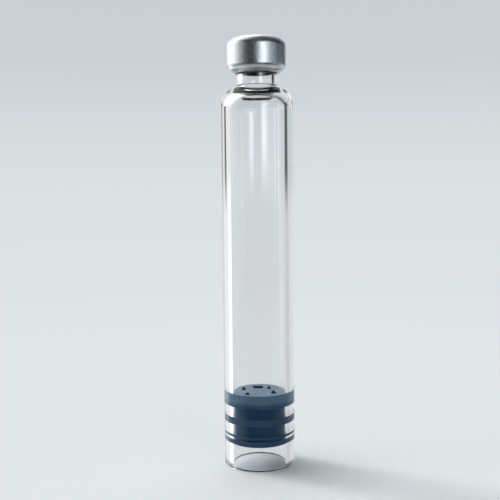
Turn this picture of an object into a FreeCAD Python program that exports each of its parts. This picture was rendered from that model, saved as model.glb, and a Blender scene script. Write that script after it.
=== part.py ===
import FreeCAD, Part

import math
import os

# Glass cartridge with a rubber plunger and a crimped aluminium cap. Millimetres, +Z up.
# The origin is the centre of the open end's rim, which is the face that the cartridge stands on.

# Glass barrel
barrel_od = 9.65
bore_d = 7.3
straight_length = 48.9        # open rim to the start of the shoulder
bore_straight_length = 48.65  # open rim to the start of the shoulder inside
rim_round = 0.15              # fire-polished edges of the open end
shoulder_radius = 2.3
shoulder_slope = 24.0         # degrees, where the shoulder runs into the neck
inner_shoulder_radius = 1.4
inner_shoulder_slope = 18.0   # degrees, where the inside of the shoulder runs into the neck bore
throat_round = 0.5            # edge between the inner shoulder and the neck bore

# Glass neck and flange
neck_od = 5.4
neck_bore_d = 4.1
neck_length = 1.76            # top of the shoulder to the flange's root
neck_fillet = 0.25
flange_od = 7.3
flange_height = 3.08          # root to sealing face
flange_slope = 24.0           # degrees, of the flange's underside
flange_root_fillet = 0.3
flange_skirt_round = 0.7      # where the flange's side meets its sloped underside
flange_edge_round = 0.35
mouth_round = 0.35

# Rubber septum
septum_thickness = 1.35
septum_clearance = 0.05       # radial, inside the cap's wall

# Aluminium cap
cap_sheet = 0.2
cap_clearance = 0.1           # radial, between the flange and the cap's wall
cap_top_round = 1.2
crimp_clearance = 0.03        # between the flange's underside and the rolled skirt
crimp_neck_gap = 0.2          # radial, between the skirt's lip and the neck
lip_round = 0.08
window_d = 3.2                # piercing window in the cap's top

# Rubber plunger
plunger_setback = 3.03        # open rim to the plunger's back face
plunger_clearance = 0.02      # radial, ribs in the bore
groove_depth = 0.13           # radial, core below the ribs
back_rib_height = 0.85
back_groove_height = 0.28
thin_rib_height = 0.38
lower_groove_height = 1.34
middle_rib_height = 1.0
upper_groove_height = 1.37
top_rib_height = 1.85
back_edge_round = 0.3
rib_edge_round = 0.08
nub_d = 0.8                   # small cones on the top face, which keep loose plungers from sticking
nub_height = 0.35
nub_tip_d = 0.2
nub_places = [(-2.2, 0.4), (1.35, 0.9), (1.8, -1.8), (-1.5, -2.45)]   # from the axis, X and Y
ridge_length = 1.4            # one short ridge beside them
ridge_width = 0.4
ridge_height = 0.25
ridge_place = (-0.2, 1.4)
moulding_overlap = 0.05       # how far nubs and ridge are sunk in the body that they are moulded with


def turned(corners):
    """Solid of revolution about Z, from the corners of its half-section: (radius, height, rounding)."""
    points = [FreeCAD.Vector(radius, 0, height) for radius, height, rounding in corners]
    count = len(points)
    half_angles, reaches = [], []
    for i, (radius, height, rounding) in enumerate(corners):
        back = points[i - 1] - points[i]
        ahead = points[(i + 1) % count] - points[i]
        half_angles.append(back.getAngle(ahead) / 2)
        reaches.append(rounding / math.tan(half_angles[i]))

    # Two roundings that would overrun the side between them are shrunk to share it.
    for i in range(count):
        j = (i + 1) % count
        room = 0.999 * points[i].distanceToPoint(points[j])
        if reaches[i] + reaches[j] > room:
            share = room / (reaches[i] + reaches[j])
            reaches[i] *= share
            reaches[j] *= share

    edges = []
    for i in range(count):
        j = (i + 1) % count
        back = (points[i - 1] - points[i]).normalize()
        ahead = (points[j] - points[i]).normalize()
        leave = points[i] + ahead * reaches[i]
        if reaches[i] > 0:
            arrive = points[i] + back * reaches[i]
            radius = reaches[i] * math.tan(half_angles[i])
            depth = radius / math.sin(half_angles[i]) - radius
            middle = points[i] + (back + ahead).normalize() * depth
            edges.append(Part.Arc(arrive, middle, leave).toShape())
        next_arrive = points[j] - ahead * reaches[j]
        edges.append(Part.LineSegment(leave, next_arrive).toShape())
    section = Part.Face(Part.Wire(edges))
    return section.revolve(FreeCAD.Vector(0, 0, 0), FreeCAD.Vector(0, 0, 1), 360)


def rounding_reach(radius, slope):
    """How far a rounding between a vertical wall and a face of this slope reaches along the wall."""
    return radius * math.tan(math.radians(90 - slope) / 2)


# Radii and levels that the sizes above give
barrel_r = barrel_od / 2
bore_r = bore_d / 2
neck_r = neck_od / 2
neck_bore_r = neck_bore_d / 2
flange_r = flange_od / 2
shoulder_rise = math.tan(math.radians(shoulder_slope))
inner_shoulder_rise = math.tan(math.radians(inner_shoulder_slope))
flange_rise = math.tan(math.radians(flange_slope))

shoulder_corner_z = straight_length + rounding_reach(shoulder_radius, shoulder_slope)
shoulder_top_z = shoulder_corner_z + (barrel_r - neck_r) * shoulder_rise
inner_corner_z = bore_straight_length + rounding_reach(inner_shoulder_radius, inner_shoulder_slope)
throat_z = inner_corner_z + (bore_r - neck_bore_r) * inner_shoulder_rise
flange_root_z = shoulder_top_z + neck_length
flange_skirt_z = flange_root_z + (flange_r - neck_r) * flange_rise
sealing_face_z = flange_root_z + flange_height
septum_top_z = sealing_face_z + septum_thickness
cap_top_z = septum_top_z + cap_sheet


def glass_barrel():
    """One tube: open end, straight wall, shoulder, neck and flange."""
    return turned([
        (bore_r, 0, rim_round),
        (barrel_r, 0, rim_round),
        (barrel_r, shoulder_corner_z, shoulder_radius),
        (neck_r, shoulder_top_z, neck_fillet),
        (neck_r, flange_root_z, flange_root_fillet),
        (flange_r, flange_skirt_z, flange_skirt_round),
        (flange_r, sealing_face_z, flange_edge_round),
        (neck_bore_r, sealing_face_z, mouth_round),
        (neck_bore_r, throat_z, throat_round),
        (bore_r, inner_corner_z, inner_shoulder_radius),
    ])


def septum():
    """Disc on the sealing face; its upper edge follows the inside of the cap's rounded top."""
    cap_inner_r = flange_r + cap_clearance
    septum_r = cap_inner_r - septum_clearance
    return turned([
        (0, sealing_face_z, 0),
        (septum_r, sealing_face_z, 0),
        (septum_r, septum_top_z, cap_top_round - cap_sheet),
        (0, septum_top_z, 0),
    ])


def crimp_cap():
    """Drawn sheet: top with a window, rounded edge, wall, and a skirt rolled in along the flange."""
    inner_r = flange_r + cap_clearance
    outer_r = inner_r + cap_sheet
    lip_r = neck_r + crimp_neck_gap
    slope = math.radians(flange_slope)

    def skirt_z(radius, offset):
        """Height of a line parallel to the flange's underside, this far below it."""
        return flange_root_z + (radius - neck_r) * flange_rise - offset / math.cos(slope)

    inner_roll = flange_skirt_round + cap_clearance
    outer_offset = crimp_clearance + cap_sheet
    lip_outer_r = lip_r + cap_sheet * math.sin(slope)
    return turned([
        (window_d / 2, septum_top_z, 0),
        (inner_r, septum_top_z, cap_top_round - cap_sheet),
        (inner_r, skirt_z(inner_r, crimp_clearance), inner_roll),
        (lip_r, skirt_z(lip_r, crimp_clearance), lip_round),
        (lip_outer_r, skirt_z(lip_outer_r, outer_offset), lip_round),
        (outer_r, skirt_z(outer_r, outer_offset), inner_roll + cap_sheet),
        (outer_r, cap_top_z, cap_top_round),
        (window_d / 2, cap_top_z, 0),
    ])


def plunger():
    """One moulding: core and ribs, flat ends, and the nubs and ridge on the top face."""
    rib_r = bore_r - plunger_clearance
    core_r = rib_r - groove_depth
    bands = [
        (rib_r, back_rib_height),
        (core_r, back_groove_height),
        (rib_r, thin_rib_height),
        (core_r, lower_groove_height),
        (rib_r, middle_rib_height),
        (core_r, upper_groove_height),
        (rib_r, top_rib_height),
    ]
    corners = [(0, plunger_setback, 0), (rib_r, plunger_setback, back_edge_round)]
    level = plunger_setback
    for i, (radius, height) in enumerate(bands):
        if i > 0:
            corners.append((radius, level, rib_edge_round if radius == rib_r else 0))
        level += height
        corners.append((radius, level, rib_edge_round if radius == rib_r else 0))
    corners.append((0, level, 0))
    body = turned(corners)

    foot_z = level - moulding_overlap
    for x, y in nub_places:
        foot = FreeCAD.Vector(x, y, foot_z)
        body = body.fuse(Part.makeCone(nub_d / 2, nub_tip_d / 2, nub_height + moulding_overlap, foot))
    x, y = ridge_place
    corner = FreeCAD.Vector(x - ridge_length / 2, y - ridge_width / 2, foot_z)
    ridge = Part.makeBox(ridge_length, ridge_width, ridge_height + moulding_overlap, corner)
    return body.fuse(ridge).removeSplitter()


os.makedirs("parts", exist_ok=True)
for node, make in {
    "glass_barrel": glass_barrel,
    "crimp_cap": crimp_cap,
    "septum": septum,
    "plunger": plunger,
}.items():
    shape = make()
    box = shape.optimalBoundingBox()
    print(f"{node}: valid {shape.isValid()}, {len(shape.Solids)} solid, {shape.Volume:.2f} mm3, "
          f"z {box.ZMin:.3f} to {box.ZMax:.3f}, width {box.XLength:.3f}")
    shape.exportStep(f"parts/{node}.step")
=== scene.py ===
import math

import bmesh
import bpy
from mathutils import Euler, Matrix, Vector


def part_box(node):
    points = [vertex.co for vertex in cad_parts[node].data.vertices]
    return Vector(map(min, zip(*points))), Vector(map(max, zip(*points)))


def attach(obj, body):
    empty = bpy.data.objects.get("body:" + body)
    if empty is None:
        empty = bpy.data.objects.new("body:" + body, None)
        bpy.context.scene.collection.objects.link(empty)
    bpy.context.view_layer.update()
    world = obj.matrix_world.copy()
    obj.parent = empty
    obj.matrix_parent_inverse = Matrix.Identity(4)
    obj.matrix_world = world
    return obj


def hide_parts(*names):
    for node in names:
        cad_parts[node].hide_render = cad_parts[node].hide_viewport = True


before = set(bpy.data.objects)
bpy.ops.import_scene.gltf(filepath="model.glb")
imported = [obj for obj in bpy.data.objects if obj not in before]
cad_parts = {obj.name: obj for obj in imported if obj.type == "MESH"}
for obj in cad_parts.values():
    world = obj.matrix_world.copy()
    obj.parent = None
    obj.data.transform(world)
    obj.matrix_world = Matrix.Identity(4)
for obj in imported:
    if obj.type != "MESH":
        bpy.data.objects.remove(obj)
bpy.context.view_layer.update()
scene = bpy.context.scene
mm = 0.001
print("frame loaded")


def hexColour(code):
    # sRGB hex to linear
    parts = [int(code[i:i + 2], 16) / 255 for i in (1, 3, 5)]
    return tuple(p / 12.92 if p <= 0.04045 else ((p + 0.055) / 1.055) ** 2.4 for p in parts) + (1.0,)


def addNode(tree, kind, settings=None, links=None):
    # settings: property or input to value; links: input to the output socket that feeds it
    node = tree.nodes.new(kind)
    for name, value in (settings or {}).items():
        if isinstance(name, str) and hasattr(node, name):
            setattr(node, name, value)
        else:
            node.inputs[name].default_value = value
    for name, sockets in (links or {}).items():
        for socket in sockets if isinstance(sockets, list) else [sockets]:
            tree.links.new(socket, node.inputs[name])
    return node


def newMaterial(name):
    material = bpy.data.materials.new(name)
    material.use_nodes = True
    material.node_tree.nodes.clear()
    return material, material.node_tree


# Turning: an outline is a half-section in mm, with (radius, height, rounding) at each corner

turning = {
    "arcStep": 5.0,      # degrees between rows on a rounding
    "rowPitch": 3.0,     # mm between rows on a straight stretch
    "holdGap": 0.03,     # mm from a stretch's end to its first row, so that flats shade as flats
    "mergeGap": 0.001,   # mm, closes the seam and the poles
    "sharpAngle": 50,    # degrees, past which an edge shades sharp, but not on the glass
}


def arcPoints(centre, start, end):
    first = math.atan2(start.y - centre.y, start.x - centre.x)
    last = math.atan2(end.y - centre.y, end.x - centre.x)
    sweep = (last - first + math.pi) % (2 * math.pi) - math.pi
    steps = max(2, math.ceil(abs(math.degrees(sweep)) / turning["arcStep"]))
    radius = (start - centre).length
    angles = [first + sweep * k / steps for k in range(steps + 1)]
    return [centre + radius * Vector((math.cos(a), math.sin(a))) for a in angles]


def straightRows(start, end):
    length = (end - start).length
    if length < 3 * turning["holdGap"]:
        return []
    rows = max(1, round(length / turning["rowPitch"]))
    between = [length * k / rows for k in range(1, rows)]
    stops = [turning["holdGap"]] + between + [length - turning["holdGap"]]
    return [start.lerp(end, stop / length) for stop in stops]


def outlinePoints(corners):
    # the same tangent roundings as the solids have; a corner on the axis starts or ends the outline
    points = [Vector((radius, height)) for radius, height, rounding in corners]
    count = len(points)
    onAxis = corners[0][0] == 0 and corners[-1][0] == 0
    halves, reaches = [], []
    for i, (radius, height, rounding) in enumerate(corners):
        back = points[i - 1] - points[i]
        ahead = points[(i + 1) % count] - points[i]
        halves.append(back.angle(ahead) / 2)
        reaches.append(rounding / math.tan(halves[i]))
    line = []
    for i in range(count):
        j = (i + 1) % count
        back = (points[i - 1] - points[i]).normalized()
        ahead = (points[j] - points[i]).normalized()
        leave = points[i] + ahead * reaches[i]
        if reaches[i] > 0:
            arrive = points[i] + back * reaches[i]
            centreGap = reaches[i] * math.tan(halves[i]) / math.sin(halves[i])
            centre = points[i] + (back + ahead).normalized() * centreGap
            line += arcPoints(centre, arrive, leave)
        else:
            line.append(leave)
        if j == 0 and onAxis:
            break
        line += straightRows(leave, points[j] - ahead * reaches[j])
    if not onAxis:
        line.append(line[0])
    return line


def turningTree():
    # Geometry Nodes lathe: a grid wrapped round Z, whose rows take their radius and height from the
    # outline's points
    tree = bpy.data.node_groups.new("turning", "GeometryNodeTree")
    face = tree.interface
    face.new_socket("Outline", in_out="INPUT", socket_type="NodeSocketGeometry")
    face.new_socket("Segments", in_out="INPUT", socket_type="NodeSocketInt")
    face.new_socket("Merge", in_out="INPUT", socket_type="NodeSocketFloat")
    face.new_socket("Finish", in_out="INPUT", socket_type="NodeSocketMaterial")
    face.new_socket("Piece", in_out="OUTPUT", socket_type="NodeSocketGeometry")
    given = addNode(tree, "NodeGroupInput").outputs
    size = addNode(tree, "GeometryNodeAttributeDomainSize", links={"Geometry": given["Outline"]})
    columns = addNode(tree, "ShaderNodeMath", {"operation": "ADD", 1: 1.0}, {0: given["Segments"]})
    grid = addNode(tree, "GeometryNodeMeshGrid", {}, {
        "Vertices X": size.outputs["Point Count"], "Vertices Y": columns.outputs[0]})
    index = addNode(tree, "GeometryNodeInputIndex")
    row = addNode(tree, "ShaderNodeMath", {"operation": "DIVIDE"}, {
        0: index.outputs[0], 1: columns.outputs[0]})
    wholeRow = addNode(tree, "ShaderNodeMath", {"operation": "FLOOR"}, {0: row.outputs[0]})
    column = addNode(tree, "ShaderNodeMath", {"operation": "MODULO"}, {
        0: index.outputs[0], 1: columns.outputs[0]})
    share = addNode(tree, "ShaderNodeMath", {"operation": "DIVIDE"}, {
        0: column.outputs[0], 1: given["Segments"]})
    angle = addNode(tree, "ShaderNodeMath", {"operation": "MULTIPLY", 1: 2 * math.pi}, {
        0: share.outputs[0]})
    place = addNode(tree, "GeometryNodeInputPosition")
    section = addNode(tree, "GeometryNodeSampleIndex", {"data_type": "FLOAT_VECTOR", "domain": "POINT"}, {
        "Geometry": given["Outline"], "Value": place.outputs[0], "Index": wholeRow.outputs[0]})
    turned = addNode(tree, "ShaderNodeVectorRotate", {"rotation_type": "Z_AXIS"}, {
        "Vector": section.outputs[0], "Angle": angle.outputs[0]})
    wrapped = addNode(tree, "GeometryNodeSetPosition", {}, {
        "Geometry": grid.outputs["Mesh"], "Position": turned.outputs[0]})
    merged = addNode(tree, "GeometryNodeMergeByDistance", {}, {
        "Geometry": wrapped.outputs[0], "Distance": given["Merge"]})
    smooth = addNode(tree, "GeometryNodeSetShadeSmooth", {}, {"Geometry": merged.outputs[0]})
    real = addNode(tree, "GeometryNodeRealizeInstances", {}, {"Geometry": smooth.outputs[0]})
    painted = addNode(tree, "GeometryNodeSetMaterial", {}, {
        "Geometry": real.outputs[0], "Material": given["Finish"]})
    addNode(tree, "NodeGroupOutput", {}, {"Piece": painted.outputs[0]})
    return tree


def runTree(name, seedMesh, tree, inputs):
    # runs a tree on a mesh and returns its result as a plain mesh object at the origin
    seed = bpy.data.objects.new(name + "Seed", seedMesh)
    scene.collection.objects.link(seed)
    modifier = seed.modifiers.new("tree", "NODES")
    modifier.node_group = tree
    for item in tree.interface.items_tree:
        if item.in_out == "INPUT" and item.name in inputs:
            modifier[item.identifier] = inputs[item.name]
    shaped = seed.evaluated_get(bpy.context.evaluated_depsgraph_get())
    mesh = bpy.data.meshes.new_from_object(shaped)
    bpy.data.objects.remove(seed)
    shell = bmesh.new()
    shell.from_mesh(mesh)
    bmesh.ops.recalc_face_normals(shell, faces=shell.faces)
    shell.to_mesh(mesh)
    shell.free()
    piece = bpy.data.objects.new(name, mesh)
    scene.collection.objects.link(piece)
    return piece


latheTree = turningTree()


def turnedPiece(name, corners, segments, finish):
    line = outlinePoints(corners)
    seedMesh = bpy.data.meshes.new(name + "Outline")
    places = [(p.x * mm, 0, p.y * mm) for p in line]
    seedMesh.from_pydata(places, [(k, k + 1) for k in range(len(line) - 1)], [])
    return runTree(name, seedMesh, latheTree, {
        "Segments": segments, "Merge": turning["mergeGap"] * mm, "Finish": finish})


def sitOn(piece, node, body):
    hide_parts(node)
    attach(piece, body)


# Glass barrel: drawn borosilicate tube, clear and colourless, with smooth flame-formed edges

barrel = {
    "outsideRadius": 4.825, "boreRadius": 3.65, "straightLength": 48.9, "boreStraightLength": 48.65,
    "rimRound": 0.15, "shoulderRadius": 2.3, "shoulderSlope": 24.0,
    "innerShoulderRadius": 1.4, "innerShoulderSlope": 18.0, "throatRound": 0.5,
    "neckRadius": 2.7, "neckBoreRadius": 2.05, "neckLength": 1.76, "neckFillet": 0.25,
    "flangeRadius": 3.65, "flangeSlope": 24.0, "flangeRootFillet": 0.3, "flangeSkirtRound": 0.7,
    "flangeEdgeRound": 0.35, "mouthRound": 0.35,
    "segments": 400,
    "ior": 1.5, "tint": "#ffffff",
    "shadow": "#e6e9eb", "edgeShadow": "#b2b7ba", "rimShadow": "#4a5054",   # what light keeps in passing
}


def clearGlass():
    # borosilicate glass: refraction does the work. Its shadow is light, and darker where light meets it at a
    # glancing angle and in the rim's rounding, as these turn that light aside.
    material, tree = newMaterial("drawnBorosilicateGlass")
    glass = addNode(tree, "ShaderNodeBsdfPrincipled", {
        "Base Color": hexColour(barrel["tint"]), "Roughness": 0.0,
        "IOR": barrel["ior"], "Transmission Weight": 1.0})
    glance = addNode(tree, "ShaderNodeLayerWeight", {"Blend": 0.5})
    coords = addNode(tree, "ShaderNodeTexCoord")
    axes = addNode(tree, "ShaderNodeSeparateXYZ", {}, {0: coords.outputs["Object"]})
    rim = addNode(tree, "ShaderNodeMapRange", {"From Min": barrel["rimRound"] * mm, "From Max": 0.0}, {
        "Value": axes.outputs["Z"]})
    wallShade = addNode(tree, "ShaderNodeMix", {
        "data_type": "RGBA", 6: hexColour(barrel["shadow"]), 7: hexColour(barrel["edgeShadow"])}, {
        0: glance.outputs["Facing"]})
    shade = addNode(tree, "ShaderNodeMix", {"data_type": "RGBA", 7: hexColour(barrel["rimShadow"])}, {
        0: rim.outputs["Result"], 6: wallShade.outputs[2]})
    through = addNode(tree, "ShaderNodeBsdfTransparent", {}, {"Color": shade.outputs[2]})
    path = addNode(tree, "ShaderNodeLightPath")
    mix = addNode(tree, "ShaderNodeMixShader", {}, {
        "Fac": path.outputs["Is Shadow Ray"], 1: glass.outputs[0], 2: through.outputs[0]})
    addNode(tree, "ShaderNodeOutputMaterial", {}, {"Surface": mix.outputs[0]})
    return material


def riseOf(slope):
    return math.tan(math.radians(slope))


def cornerReach(radius, slope):
    return radius * math.tan(math.radians(90 - slope) / 2)


def buildBarrel():
    b = barrel
    shoulderZ = b["straightLength"] + cornerReach(b["shoulderRadius"], b["shoulderSlope"])
    neckZ = shoulderZ + (b["outsideRadius"] - b["neckRadius"]) * riseOf(b["shoulderSlope"])
    innerZ = b["boreStraightLength"] + cornerReach(b["innerShoulderRadius"], b["innerShoulderSlope"])
    throatZ = innerZ + (b["boreRadius"] - b["neckBoreRadius"]) * riseOf(b["innerShoulderSlope"])
    rootZ = neckZ + b["neckLength"]
    skirtZ = rootZ + (b["flangeRadius"] - b["neckRadius"]) * riseOf(b["flangeSlope"])
    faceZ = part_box("glass_barrel")[1].z / mm
    piece = turnedPiece("glassBarrel", [
        (b["boreRadius"], 0, b["rimRound"]),
        (b["outsideRadius"], 0, b["rimRound"]),
        (b["outsideRadius"], shoulderZ, b["shoulderRadius"]),
        (b["neckRadius"], neckZ, b["neckFillet"]),
        (b["neckRadius"], rootZ, b["flangeRootFillet"]),
        (b["flangeRadius"], skirtZ, b["flangeSkirtRound"]),
        (b["flangeRadius"], faceZ, b["flangeEdgeRound"]),
        (b["neckBoreRadius"], faceZ, b["mouthRound"]),
        (b["neckBoreRadius"], throatZ, b["throatRound"]),
        (b["boreRadius"], innerZ, b["innerShoulderRadius"]),
    ], b["segments"], clearGlass())
    sitOn(piece, "glass_barrel", "barrel")
    return rootZ


flangeRootZ = buildBarrel()
print("barrel done")


# Cap: deep-drawn aluminium sheet with a tumbled satin skin

cap = {
    "sheet": 0.2, "clearance": 0.1, "topRound": 1.2, "crimpClearance": 0.03,
    "neckGap": 0.2, "lipRound": 0.08, "windowRadius": 1.6, "segments": 192,
    "colour": "#d9dde0", "glint": "#edf0f2",   # between the specks and on them
    "roughness": 0.23, "roughnessSpread": 0.05,
    "grainSize": 0.16,   # mm, the skin's mottle, drawn coarser than the real one so that it shows
    "grainDepth": 0.024,   # mm
}


def satinAluminium():
    # satin aluminium: a broad highlight that a fine tumbled grain breaks into bright specks
    material, tree = newMaterial("satinDrawnAluminium")
    coords = addNode(tree, "ShaderNodeTexCoord")
    grain = addNode(tree, "ShaderNodeTexNoise", {
        "Scale": 1 / (cap["grainSize"] * mm), "Detail": 3.0, "Roughness": 0.65}, {
        "Vector": coords.outputs["Object"]})
    bump = addNode(tree, "ShaderNodeBump", {"Strength": 1.0, "Distance": cap["grainDepth"] * mm}, {
        "Height": grain.outputs["Fac"]})
    polish = addNode(tree, "ShaderNodeMapRange", {
        "From Min": 0.3, "From Max": 0.7,
        "To Min": cap["roughness"] - cap["roughnessSpread"],
        "To Max": cap["roughness"] + cap["roughnessSpread"]}, {"Value": grain.outputs["Fac"]})
    speck = addNode(tree, "ShaderNodeMapRange", {"From Min": 0.4, "From Max": 0.6}, {
        "Value": grain.outputs["Fac"]})
    colour = addNode(tree, "ShaderNodeMix", {
        "data_type": "RGBA", 6: hexColour(cap["colour"]), 7: hexColour(cap["glint"])}, {
        0: speck.outputs["Result"]})
    metal = addNode(tree, "ShaderNodeBsdfPrincipled", {"Metallic": 1.0}, {
        "Base Color": colour.outputs[2], "Roughness": polish.outputs["Result"],
        "Normal": bump.outputs["Normal"]})
    addNode(tree, "ShaderNodeOutputMaterial", {}, {"Surface": metal.outputs[0]})
    return material


def buildCap():
    c = cap
    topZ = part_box("crimp_cap")[1].z / mm
    innerRadius = barrel["flangeRadius"] + c["clearance"]
    outerRadius = innerRadius + c["sheet"]
    lipRadius = barrel["neckRadius"] + c["neckGap"]
    slope = math.radians(barrel["flangeSlope"])
    lipOuterRadius = lipRadius + c["sheet"] * math.sin(slope)
    innerRoll = barrel["flangeSkirtRound"] + c["clearance"]

    def skirtZ(radius, offset):
        # a line parallel to the flange's underside, this far below it
        return flangeRootZ + (radius - barrel["neckRadius"]) * math.tan(slope) - offset / math.cos(slope)

    piece = turnedPiece("crimpCap", [
        (c["windowRadius"], topZ - c["sheet"], 0),
        (innerRadius, topZ - c["sheet"], c["topRound"] - c["sheet"]),
        (innerRadius, skirtZ(innerRadius, c["crimpClearance"]), innerRoll),
        (lipRadius, skirtZ(lipRadius, c["crimpClearance"]), c["lipRound"]),
        (lipOuterRadius, skirtZ(lipOuterRadius, c["crimpClearance"] + c["sheet"]), c["lipRound"]),
        (outerRadius, skirtZ(outerRadius, c["crimpClearance"] + c["sheet"]), innerRoll + c["sheet"]),
        (outerRadius, topZ, c["topRound"]),
        (c["windowRadius"], topZ, 0),
    ], c["segments"], satinAluminium())
    piece.data.set_sharp_from_angle(angle=math.radians(turning["sharpAngle"]))
    sitOn(piece, "crimp_cap", "barrel")


buildCap()
print("cap done")


# Septum: a disc of grey rubber, pressed by the cap on the flange's sealing face

disc = {
    "radius": 3.7, "edgeRound": 1.0, "segments": 128,
    "colour": "#8a8782", "cloud": "#7f7c78", "roughness": 0.6,
    "cloudSize": 1.11, "cloudDepth": 0.02,   # mm
}


def septumRubber():
    # butyl rubber disc: matt, with a faint cloudiness from its fillers
    material, tree = newMaterial("greyButylRubber")
    coords = addNode(tree, "ShaderNodeTexCoord")
    cloud = addNode(tree, "ShaderNodeTexNoise", {"Scale": 1 / (disc["cloudSize"] * mm), "Detail": 4.0}, {
        "Vector": coords.outputs["Object"]})
    colour = addNode(tree, "ShaderNodeMix", {
        "data_type": "RGBA", 6: hexColour(disc["cloud"]), 7: hexColour(disc["colour"])}, {
        0: cloud.outputs["Fac"]})
    bump = addNode(tree, "ShaderNodeBump", {"Strength": 0.2, "Distance": disc["cloudDepth"] * mm}, {
        "Height": cloud.outputs["Fac"]})
    rubber = addNode(tree, "ShaderNodeBsdfPrincipled", {"Roughness": disc["roughness"]}, {
        "Base Color": colour.outputs[2], "Normal": bump.outputs["Normal"]})
    addNode(tree, "ShaderNodeOutputMaterial", {}, {"Surface": rubber.outputs[0]})
    return material


def buildSeptum():
    low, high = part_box("septum")
    piece = turnedPiece("septumDisc", [
        (0, low.z / mm, 0),
        (disc["radius"], low.z / mm, 0),
        (disc["radius"], high.z / mm, disc["edgeRound"]),
        (0, high.z / mm, 0),
    ], disc["segments"], septumRubber())
    piece.data.set_sharp_from_angle(angle=math.radians(turning["sharpAngle"]))
    sitOn(piece, "septum", "barrel")


buildSeptum()
print("septum done")


# Plunger: one moulding of dark blue-grey rubber; its ribs are squeezed on the glass, so they wet it

stopper = {
    "squeeze": 0.02,     # mm that a rib reaches past the bore, as rubber under pressure lies on glass
    "groove": 0.15, "backEdgeRound": 0.3, "ribEdgeRound": 0.06,
    "ribs": [0.85, 0.38, 1.0, 1.85],       # heights in mm, from the back
    "grooves": [0.28, 1.34, 1.37],
    "nubPlaces": [(-2.2, 0.4), (1.35, 0.9), (1.8, -1.8), (-1.5, -2.45)],
    "nubRadius": 0.4, "nubTipRadius": 0.1, "nubHeight": 0.35, "nubSink": 0.05,
    "nubScale": (0.86, 1.08), "nubSeed": 4,   # smallest and largest, drawn at random
    "ridgePlace": (-0.2, 1.4), "ridgeSize": (1.4, 0.4, 0.25),
    "segments": 192,
    # the last two colours are painted light, where light from above falls on the top face and the top rib
    "dark": "#174366", "darkCloud": "#1f4c70", "paintedLightTone": "#5c7b98", "topPaintedLight": "#788c9d",
    "paintedLightBand": 1.0,     # mm below the top face, down to which the top rib's painted light is full
    "paintedLightFade": 0.5,     # mm below that, over which the painted light fades
    "lowPaintedLight": 0.12,    # how much of that painted light the lower ribs keep
    "paintedLightSpread": (0.8, 1.1),
    "ribFace": (0.08, 0.02),     # mm inside the bore's radius, where the rib faces' painted light starts and is full
    "topFace": 0.04,     # mm round the top face's height that take its painted light
    "nubPaintedShade": "#0f2436", "nubPaintedShadeHeights": (0.02, 0.24),   # painted shade on the nubs' sides, between these heights in mm above the top face
    "darkRoughness": 0.4, "paleRoughness": 0.5, "coreSpecular": 0.25, "ribSpecular": 0.5,
    "grainSize": 0.25, "grainDepth": 0.01, "cloudSize": 1.43,   # mm
}


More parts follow.
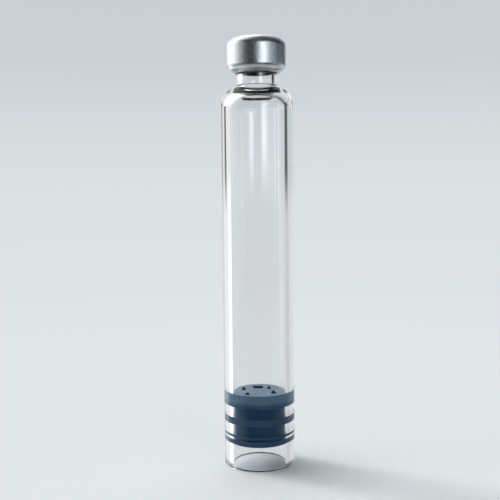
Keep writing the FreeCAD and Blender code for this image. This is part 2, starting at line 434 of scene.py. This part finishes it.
def plungerRubber():
    # moulded bromobutyl rubber: dark blue with a soft gloss. Its top face, and the rib faces on the glass,
    # are painted paler as light falls on them from above, most of all round the top rib, and are duller
    # there.
    s = stopper
    material, tree = newMaterial("mouldedBlueRubber")
    coords = addNode(tree, "ShaderNodeTexCoord")
    texture = addNode(tree, "ShaderNodeTexNoise", {"Scale": 1 / (s["grainSize"] * mm), "Detail": 3.0}, {
        "Vector": coords.outputs["Object"]})
    cloud = addNode(tree, "ShaderNodeTexNoise", {"Scale": 1 / (s["cloudSize"] * mm), "Detail": 3.0}, {
        "Vector": coords.outputs["Object"]})
    axes = addNode(tree, "ShaderNodeSeparateXYZ", {}, {0: coords.outputs["Object"]})
    flat = addNode(tree, "ShaderNodeCombineXYZ", {}, {"X": axes.outputs["X"], "Y": axes.outputs["Y"]})
    radius = addNode(tree, "ShaderNodeVectorMath", {"operation": "LENGTH"}, {0: flat.outputs[0]})
    ribFace = addNode(tree, "ShaderNodeMapRange", {
        "From Min": (barrel["boreRadius"] - s["ribFace"][0]) * mm,
        "From Max": (barrel["boreRadius"] - s["ribFace"][1]) * mm}, {"Value": radius.outputs["Value"]})
    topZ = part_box("plunger")[1].z - s["nubHeight"] * mm
    # painted light on the rib faces: full near the top rib, fading below it
    upper = addNode(tree, "ShaderNodeMapRange", {
        "From Min": topZ - (s["paintedLightBand"] + s["paintedLightFade"]) * mm, "From Max": topZ - s["paintedLightBand"] * mm,
        "To Min": s["lowPaintedLight"]}, {"Value": axes.outputs["Z"]})
    onRibs = addNode(tree, "ShaderNodeMath", {"operation": "MULTIPLY"}, {
        0: ribFace.outputs["Result"], 1: upper.outputs["Result"]})
    onTop = addNode(tree, "ShaderNodeMath", {"operation": "COMPARE", 1: topZ, 2: s["topFace"] * mm}, {
        0: axes.outputs["Z"]})
    paintedLightMask = addNode(tree, "ShaderNodeMath", {"operation": "MAXIMUM"}, {
        0: onRibs.outputs[0], 1: onTop.outputs[0]})
    uneven = addNode(tree, "ShaderNodeMapRange", {
        "To Min": s["paintedLightSpread"][0], "To Max": s["paintedLightSpread"][1]}, {"Value": cloud.outputs["Fac"]})
    amount = addNode(tree, "ShaderNodeMath", {"operation": "MULTIPLY"}, {
        0: paintedLightMask.outputs[0], 1: uneven.outputs["Result"]})
    dark = addNode(tree, "ShaderNodeMix", {
        "data_type": "RGBA", 6: hexColour(s["dark"]), 7: hexColour(s["darkCloud"])}, {
        0: cloud.outputs["Fac"]})
    # the paler colours are painted light on the top face and the ribs
    paintedLightTone = addNode(tree, "ShaderNodeMix", {
        "data_type": "RGBA", 6: hexColour(s["paintedLightTone"]), 7: hexColour(s["topPaintedLight"])}, {0: onTop.outputs[0]})
    withPaintedLight = addNode(tree, "ShaderNodeMix", {"data_type": "RGBA"}, {
        0: amount.outputs[0], 6: dark.outputs[2], 7: paintedLightTone.outputs[2]})
    # painted shade on the nubs' sides, below their tips
    low, high = s["nubPaintedShadeHeights"]
    nubShadeMask = addNode(tree, "ShaderNodeMath", {
        "operation": "COMPARE", 1: topZ + (low + high) / 2 * mm, 2: (high - low) / 2 * mm}, {
        0: axes.outputs["Z"]})
    colour = addNode(tree, "ShaderNodeMix", {"data_type": "RGBA", 7: hexColour(s["nubPaintedShade"])}, {
        0: nubShadeMask.outputs[0], 6: withPaintedLight.outputs[2]})
    gloss = addNode(tree, "ShaderNodeMapRange", {
        "To Min": s["darkRoughness"], "To Max": s["paleRoughness"]}, {"Value": paintedLightMask.outputs[0]})
    bump = addNode(tree, "ShaderNodeBump", {"Strength": 0.3, "Distance": s["grainDepth"] * mm}, {
        "Height": texture.outputs["Fac"]})
    shine = addNode(tree, "ShaderNodeMapRange", {"To Min": s["coreSpecular"], "To Max": s["ribSpecular"]}, {
        "Value": ribFace.outputs["Result"]})
    rubber = addNode(tree, "ShaderNodeBsdfPrincipled", {}, {
        "Base Color": colour.outputs[2], "Roughness": gloss.outputs["Result"],
        "Specular IOR Level": shine.outputs["Result"], "Normal": bump.outputs["Normal"]})
    addNode(tree, "ShaderNodeOutputMaterial", {}, {"Surface": rubber.outputs[0]})
    return material


def nubTree():
    # Geometry Nodes: a cone on each point, a ridge beside them, all fused to the moulding's body
    tree = bpy.data.node_groups.new("nubs", "GeometryNodeTree")
    face = tree.interface
    for name, kind in [("Places", "Geometry"), ("Body", "Object"), ("Radius", "Float"),
                       ("Tip Radius", "Float"), ("Height", "Float"), ("Sink", "Float"),
                       ("Smallest", "Float"), ("Largest", "Float"), ("Ridge Size", "Vector"),
                       ("Ridge Place", "Vector"), ("Seed", "Int"), ("Finish", "Material")]:
        face.new_socket(name, in_out="INPUT", socket_type="NodeSocket" + kind)
    face.new_socket("Piece", in_out="OUTPUT", socket_type="NodeSocketGeometry")
    given = addNode(tree, "NodeGroupInput").outputs
    depth = addNode(tree, "ShaderNodeMath", {"operation": "ADD"}, {0: given["Height"], 1: given["Sink"]})
    cone = addNode(tree, "GeometryNodeMeshCone", {"Vertices": 40, "Side Segments": 1}, {
        "Radius Top": given["Tip Radius"], "Radius Bottom": given["Radius"], "Depth": depth.outputs[0]})
    spread = addNode(tree, "FunctionNodeRandomValue", {"data_type": "FLOAT"}, {
        2: given["Smallest"], 3: given["Largest"], "Seed": given["Seed"]})
    studs = addNode(tree, "GeometryNodeInstanceOnPoints", {}, {
        "Points": given["Places"], "Instance": cone.outputs["Mesh"], "Scale": spread.outputs[1]})
    bar = addNode(tree, "GeometryNodeMeshCube", {}, {"Size": given["Ridge Size"]})
    ridge = addNode(tree, "GeometryNodeTransform", {}, {
        "Geometry": bar.outputs["Mesh"], "Translation": given["Ridge Place"]})
    body = addNode(tree, "GeometryNodeObjectInfo", {}, {"Object": given["Body"]})
    studsMade = addNode(tree, "GeometryNodeRealizeInstances", {}, {"Geometry": studs.outputs[0]})
    fused = addNode(tree, "GeometryNodeMeshBoolean", {"operation": "UNION", "solver": "EXACT"}, {
        "Mesh 2": [body.outputs["Geometry"], studsMade.outputs[0], ridge.outputs[0]]})
    real = addNode(tree, "GeometryNodeRealizeInstances", {}, {"Geometry": fused.outputs["Mesh"]})
    painted = addNode(tree, "GeometryNodeSetMaterial", {}, {
        "Geometry": real.outputs[0], "Material": given["Finish"]})
    addNode(tree, "NodeGroupOutput", {}, {"Piece": painted.outputs[0]})
    return tree


def buildPlunger():
    s = stopper
    ribRadius = barrel["boreRadius"] + s["squeeze"]
    coreRadius = barrel["boreRadius"] - s["groove"]
    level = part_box("plunger")[0].z / mm
    corners = [(0, level, 0), (ribRadius, level, s["backEdgeRound"])]
    for k, ribHeight in enumerate(s["ribs"]):
        if k > 0:
            level += s["grooves"][k - 1]
            corners += [(coreRadius, level, 0), (ribRadius, level, s["ribEdgeRound"])]
        level += ribHeight
        corners.append((ribRadius, level, s["ribEdgeRound"]))
        if k < len(s["grooves"]):
            corners.append((coreRadius, level, 0))
    corners.append((0, level, 0))
    rubber = plungerRubber()
    body = turnedPiece("plungerBody", corners, s["segments"], rubber)

    places = bpy.data.meshes.new("nubPlaces")
    places.from_pydata([(x * mm, y * mm, (level - s["nubSink"]) * mm) for x, y in s["nubPlaces"]], [], [])
    length, width, height = s["ridgeSize"]
    ridgeX, ridgeY = s["ridgePlace"]
    piece = runTree("rubberPlunger", places, nubTree(), {
        "Body": body, "Radius": s["nubRadius"] * mm, "Tip Radius": s["nubTipRadius"] * mm,
        "Height": s["nubHeight"] * mm, "Sink": s["nubSink"] * mm,
        "Smallest": s["nubScale"][0], "Largest": s["nubScale"][1],
        "Ridge Size": Vector((length, width, height + s["nubSink"])) * mm,
        "Ridge Place": Vector((ridgeX, ridgeY, level + (height - s["nubSink"]) / 2)) * mm,
        "Seed": s["nubSeed"], "Finish": rubber})
    bpy.data.objects.remove(body)
    piece.data.set_sharp_from_angle(angle=math.radians(turning["sharpAngle"]))
    sitOn(piece, "plunger", "plunger")


buildPlunger()
print("plunger done")


# Studio: pale floor that fades into the backdrop, bright at the back left, with two narrow strip lights at
# the right

studio = {
    "floorRadius": 500.0, "floorGap": 0.02,     # mm
    "floorColour": "#e9edee", "floorFade": (70.0, 260.0), "floorFar": "#dde2e5",
    # backdrop behind the object: degrees above the horizon, and colour
    "backdrop": [(-20, "#e4e9eb"), (-14, "#dde2e5"), (-1, "#dce2e4"), (4.4, "#d4d9dd"), (8.2, "#cad0d5"),
                 (20, "#c6cdd2")],
    # what gloss and the walls of the glass mirror, in bands from the floor up. Each has the degrees high
    # over which it takes over from the one below it, and stops: degrees round from the camera's side
    # (right is plus), colour, level.
    "bands": {
        "underfoot": (None, [(-180, "#8f8b80", 0.07), (180, "#8f8b80", 0.07)]),
        "nearFloor": ((-84, -76), [
            (-180, "#b9b4a6", 0.15), (-140, "#c9c6bc", 0.3), (-100, "#e6eaec", 1.0), (-50, "#dde2e5", 0.55),
            (50, "#dde2e5", 0.5), (100, "#dde2e5", 0.8), (140, "#c9c6bc", 0.3), (180, "#b9b4a6", 0.15)]),
        "ground": ((-34, -20), [
            (-180, "#dde2e5", 1.0), (-142, "#e6eaec", 1.0), (-137, "#ffffff", 1.5), (-124, "#ffffff", 1.5),
            (-116, "#e6eaec", 0.8), (-98, "#c6dcea", 0.45), (-65, "#c6dcea", 0.3), (-40, "#dde2e5", 0.02),
            (50, "#dde2e5", 0.02), (72, "#dde2e5", 0.15), (100, "#dde2e5", 0.3), (120, "#dde2e5", 0.9),
            (132, "#dde2e5", 0.78), (143, "#dde2e5", 0.78), (150, "#dde2e5", 0.95), (180, "#dde2e5", 1.0)]),
        "middle": ((-2.5, 1.5), [
            (-180, "#e3e9eb", 1.0), (-165, "#e3e9eb", 1.0), (-161, "#c9d0d3", 0.06), (-149, "#c9d0d3", 0.06),
            (-145, "#ffffff", 0.85), (-95, "#ffffff", 0.85), (-65, "#f4f4f2", 0.4), (-40, "#e8eef2", 0.08),
            (-8, "#e8eef2", 0.06), (8, "#e6effa", 0.4), (20, "#edf5ff", 0.9), (40, "#edf5ff", 0.9),
            (60, "#cfe1f6", 0.5), (95, "#cfe1f6", 0.5), (120, "#dfe8ee", 0.6), (125, "#cfdae2", 0.06),
            (136, "#cfdae2", 0.06), (141, "#dfe8ee", 0.6), (160, "#e3e9eb", 0.9), (180, "#e3e9eb", 1.0)]),
        "upper": ((5.5, 7.5), [
            (-180, "#e3e9eb", 1.0), (-145, "#ffffff", 1.5), (-96, "#ffffff", 1.6), (-80, "#f4f4f2", 0.95),
            (-65, "#f4f4f2", 0.55), (-50, "#eef0f0", 0.2), (-35, "#e8eef2", 0.06), (-15, "#e8eef2", 0.05),
            (0, "#e6effa", 0.12), (10, "#eff6fb", 0.75), (17, "#f7fbfd", 1.2), (46, "#f7fbfd", 1.2),
            (54, "#e2eefa", 0.6), (66, "#c4d8ee", 0.15), (84, "#bcd2e8", 0.03), (108, "#bcd2e8", 0.0),
            (134, "#bcd2e8", 0.03), (150, "#dfe8ee", 0.5), (160, "#e3e9eb", 0.9), (180, "#e3e9eb", 1.0)]),
        "high": ((16, 24), [
            (-180, "#e3e9eb", 1.0), (-100, "#ffffff", 1.5), (-70, "#f4f4f2", 0.3), (-50, "#e8eef2", 0.04),
            (80, "#e8eef2", 0.04), (118, "#bcd2e8", 0.12), (150, "#dfe8ee", 0.8), (180, "#e3e9eb", 1.0)]),
        "overhead": ((38, 55), [
            (-180, "#ffffff", 1.4), (-100, "#ffffff", 1.4), (-60, "#ffffff", 0.6), (-30, "#f4f7fa", 0.2),
            (40, "#dfe8f0", 0.1), (120, "#dfe8f0", 0.2), (160, "#ffffff", 1.1), (180, "#ffffff", 1.4)]),
    },
    # narrow strip lights, in the bands' degrees: where each starts, is full, last is full and ends, round
    # and high, and its level
    "stripColour": "#edf5ff",
    "strips": [((12, 20, 30, 37), (-1, 3.5, 7.4, 8.4), 3.6), ((69, 70.2, 71.8, 73), (-9, 3, 4.3, 6.0), 4.0)],
    # degrees round, above the floor and wide, and energy
    "lamps": {"keyLamp": (-122, 35, 14, 1.4), "frontFill": (10, 60, 90, 0.4)},
}


def rampStops(ramp, stops):
    # stops: (position, linear colour)
    while len(ramp.elements) < len(stops):
        ramp.elements.new(1.0)
    for element, (position, colour) in zip(ramp.elements, stops):
        element.position = position
        element.color = colour


def roundRamp(tree, turn, stops):
    ramp = addNode(tree, "ShaderNodeValToRGB", {}, {"Fac": turn})
    rampStops(ramp.color_ramp, [
        (a / 360 + 0.5, [level * c for c in hexColour(colour)[:3]] + [1.0]) for a, colour, level in stops])
    return ramp.outputs[0]


def climb(tree, value, low, high):
    # 0 below low, 1 above high, and smooth between them; the other way round where low is the higher one
    return addNode(tree, "ShaderNodeMapRange", {
        "From Min": low, "From Max": high, "interpolation_type": "SMOOTHSTEP"}, {
        "Value": value}).outputs["Result"]


def window(tree, value, start, full, lastFull, end):
    # 0 outside start and end, 1 from full to lastFull
    return addNode(tree, "ShaderNodeMath", {"operation": "MULTIPLY"}, {
        0: climb(tree, value, start, full), 1: climb(tree, value, end, lastFull)}).outputs[0]


def studioWorld():
    # The camera, and rays that only pass through glass, see the backdrop. All else sees the studio round it.
    world = bpy.data.worlds.new("paleStudio")
    scene.world = world
    world.use_nodes = True
    tree = world.node_tree
    tree.nodes.clear()
    coords = addNode(tree, "ShaderNodeTexCoord")
    axes = addNode(tree, "ShaderNodeSeparateXYZ", {}, {0: coords.outputs["Generated"]})
    height = addNode(tree, "ShaderNodeMath", {"operation": "ADD", 1: 0.5}, {0: axes.outputs["Z"]})
    backdrop = addNode(tree, "ShaderNodeValToRGB", {}, {"Fac": height.outputs[0]})
    rampStops(backdrop.color_ramp, [
        (math.sin(math.radians(e)) + 0.5, hexColour(colour)) for e, colour in studio["backdrop"]])

    front = addNode(tree, "ShaderNodeMath", {"operation": "MULTIPLY", 1: -1.0}, {0: axes.outputs["Y"]})
    azimuth = addNode(tree, "ShaderNodeMath", {"operation": "ARCTAN2"}, {
        0: axes.outputs["X"], 1: front.outputs[0]})
    turn = addNode(tree, "ShaderNodeMapRange", {"From Min": -math.pi, "From Max": math.pi}, {
        "Value": azimuth.outputs[0]})
    upward = axes.outputs["Z"]
    room = None
    for takeOver, stops in studio["bands"].values():
        band = roundRamp(tree, turn.outputs["Result"], stops)
        if room is None:
            room = band
            continue
        share = climb(tree, upward, *[math.sin(math.radians(e)) for e in takeOver])
        room = addNode(tree, "ShaderNodeMix", {"data_type": "RGBA"}, {0: share, 6: room, 7: band}).outputs[2]
    for across, upright, level in studio["strips"]:
        side = window(tree, azimuth.outputs[0], *[math.radians(a) for a in across])
        tall = window(tree, upward, *[math.sin(math.radians(e)) for e in upright])
        glow = addNode(tree, "ShaderNodeMath", {"operation": "MULTIPLY"}, {0: side, 1: tall})
        colour = addNode(tree, "ShaderNodeVectorMath", {
            "operation": "SCALE", 0: [level * c for c in hexColour(studio["stripColour"])[:3]]}, {
            "Scale": glow.outputs[0]})
        room = addNode(tree, "ShaderNodeVectorMath", {"operation": "ADD"}, {
            0: room, 1: colour.outputs[0]}).outputs[0]

    path = addNode(tree, "ShaderNodeLightPath")
    bounces = addNode(tree, "ShaderNodeMath", {"operation": "ADD"}, {
        0: path.outputs["Glossy Depth"], 1: path.outputs["Diffuse Depth"]})
    straight = addNode(tree, "ShaderNodeMath", {"operation": "LESS_THAN", 1: 0.5}, {0: bounces.outputs[0]})
    passing = addNode(tree, "ShaderNodeMath", {"operation": "MULTIPLY"}, {
        0: straight.outputs[0], 1: path.outputs["Is Transmission Ray"]})
    direct = addNode(tree, "ShaderNodeMath", {"operation": "MAXIMUM"}, {
        0: passing.outputs[0], 1: path.outputs["Is Camera Ray"]})
    seen = addNode(tree, "ShaderNodeMix", {"data_type": "RGBA"}, {
        0: direct.outputs[0], 6: room, 7: backdrop.outputs[0]})
    background = addNode(tree, "ShaderNodeBackground", {}, {"Color": seen.outputs[2]})
    addNode(tree, "ShaderNodeOutputWorld", {}, {"Surface": background.outputs[0]})


def buildLamps():
    # a broad key at the back left, so the shadow falls forward to the right, and a soft fill from high in
    # front
    for name, (azimuth, elevation, width, level) in studio["lamps"].items():
        sun = bpy.data.lights.new(name, "SUN")
        sun.angle = math.radians(width)
        sun.energy = level
        lamp = bpy.data.objects.new(name, sun)
        a, e = math.radians(azimuth), math.radians(elevation)
        away = Vector((math.sin(a) * math.cos(e), -math.cos(a) * math.cos(e), math.sin(e)))
        lamp.rotation_mode = "QUATERNION"
        lamp.rotation_quaternion = away.to_track_quat("Z", "Y")
        lamp.visible_glossy = False
        scene.collection.objects.link(lamp)


def floorFinish():
    # matt paper sweep, which far from the object goes over to the backdrop's own colour, so that no edge
    # shows. Gloss sees the studio's own ground in its place.
    material, tree = newMaterial("paperSweep")
    coords = addNode(tree, "ShaderNodeTexCoord")
    distance = addNode(tree, "ShaderNodeVectorMath", {"operation": "LENGTH"}, {0: coords.outputs["Object"]})
    fade = addNode(tree, "ShaderNodeMapRange", {
        "From Min": studio["floorFade"][0] * mm, "From Max": studio["floorFade"][1] * mm,
        "interpolation_type": "SMOOTHSTEP"}, {"Value": distance.outputs["Value"]})
    paper = addNode(tree, "ShaderNodeBsdfDiffuse", {"Color": hexColour(studio["floorColour"])})
    clear = addNode(tree, "ShaderNodeBsdfTransparent")
    path = addNode(tree, "ShaderNodeLightPath")
    mirrored = addNode(tree, "ShaderNodeMath", {"operation": "GREATER_THAN", 1: 0.5}, {
        0: path.outputs["Glossy Depth"]})
    far = addNode(tree, "ShaderNodeEmission", {"Color": hexColour(studio["floorFar"])})
    sweep = addNode(tree, "ShaderNodeMixShader", {}, {
        "Fac": fade.outputs["Result"], 1: paper.outputs[0], 2: far.outputs[0]})
    mix = addNode(tree, "ShaderNodeMixShader", {}, {
        "Fac": mirrored.outputs[0], 1: sweep.outputs[0], 2: clear.outputs[0]})
    addNode(tree, "ShaderNodeOutputMaterial", {}, {"Surface": mix.outputs[0]})
    return material


def buildStudio():
    disk = bmesh.new()
    bmesh.ops.create_circle(disk, cap_ends=True, segments=96, radius=studio["floorRadius"] * mm)
    mesh = bpy.data.meshes.new("floor")
    disk.to_mesh(mesh)
    disk.free()
    mesh.materials.append(floorFinish())
    floor = bpy.data.objects.new("floor", mesh)
    floor.location.z = -studio["floorGap"] * mm
    scene.collection.objects.link(floor)
    studioWorld()
    buildLamps()


buildStudio()
print("studio done")


# Camera, at the photograph's angle

view = {
    "distance": 115.8, "height": 38.05,          # mm, from the axis and above the floor
    "pitch": 4.3, "yaw": 0.55, "roll": 0.54,     # degrees: down, left, clockwise
    "focalPixels": 854, "imagePixels": 500,
    "bounces": 24,       # enough for light to cross all the walls of the glass
}


def buildCamera():
    lens = bpy.data.cameras.new("camera")
    lens.sensor_width = 36
    lens.lens = lens.sensor_width * view["focalPixels"] / view["imagePixels"]
    lens.clip_start, lens.clip_end = 0.01, 10
    camera = bpy.data.objects.new("camera", lens)
    camera.location = (0, -view["distance"] * mm, view["height"] * mm)
    aim = Euler((math.radians(90 - view["pitch"]), 0, math.radians(view["yaw"]))).to_quaternion()
    camera.rotation_mode = "QUATERNION"
    camera.rotation_quaternion = aim @ Euler((0, 0, -math.radians(view["roll"]))).to_quaternion()
    scene.collection.objects.link(camera)
    scene.camera = camera


buildCamera()
scene.view_settings.view_transform = "Standard"
scene.cycles.max_bounces = view["bounces"]
scene.cycles.transmission_bounces = view["bounces"]
scene.cycles.transparent_max_bounces = view["bounces"]
